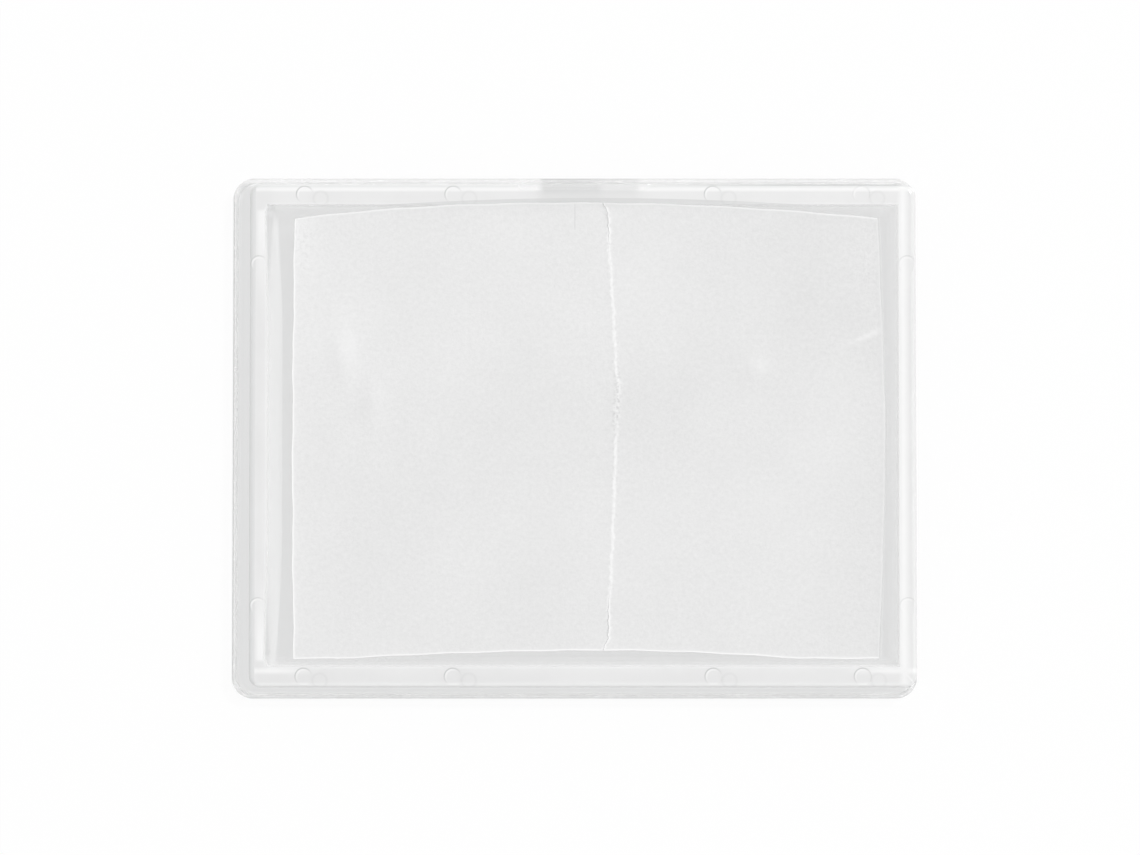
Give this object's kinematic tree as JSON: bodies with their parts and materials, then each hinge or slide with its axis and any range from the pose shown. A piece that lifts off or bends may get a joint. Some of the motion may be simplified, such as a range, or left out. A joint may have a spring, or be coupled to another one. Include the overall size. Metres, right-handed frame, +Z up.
{
  "type": "wet palette",
  "caption": "Shallow clear tray with a hollow flat rim, holding damp sponge pads under palette paper, standing in its upturned lid",
  "frame": {"origin": "on the table under the middle of the lid's outline", "axes": "+X to the right along the long side, +Y to the back edge with the thumb cut-out, +Z up"},
  "size_m": [0.2008, 0.1528, 0.0145],
  "materials": {
    "clear_plastic": "clear moulded, glossy",
    "sponge": "open-pored, damp",
    "paper": "matt, fine grained"
  },
  "bodies": {
    "lid": {"lid": "clear_plastic"},
    "tray": {"tray": "clear_plastic"},
    "sponge_left": {"sponge_left": "sponge"},
    "sponge_right": {"sponge_right": "sponge"},
    "paper_left": {"paper_left": "paper"},
    "paper_right": {"paper_right": "paper"}
  },
  "joints": [
    {"name": "tray_lift", "type": "slide", "parent": "lid", "child": "tray", "axis": [0, 0, 1], "range_m": [0, 0.06]},
    {"name": "sponge_left_lift", "type": "slide", "parent": "tray", "child": "sponge_left", "axis": [0, 0, 1], "range_m": [0, 0.05]},
    {"name": "sponge_right_lift", "type": "slide", "parent": "tray", "child": "sponge_right", "axis": [0, 0, 1], "range_m": [0, 0.05]},
    {"name": "paper_left_lift", "type": "slide", "parent": "sponge_left", "child": "paper_left", "axis": [0, 0, 1], "range_m": [0, 0.04]},
    {"name": "paper_right_lift", "type": "slide", "parent": "sponge_right", "child": "paper_right", "axis": [0, 0, 1], "range_m": [0, 0.04]}
  ]
}
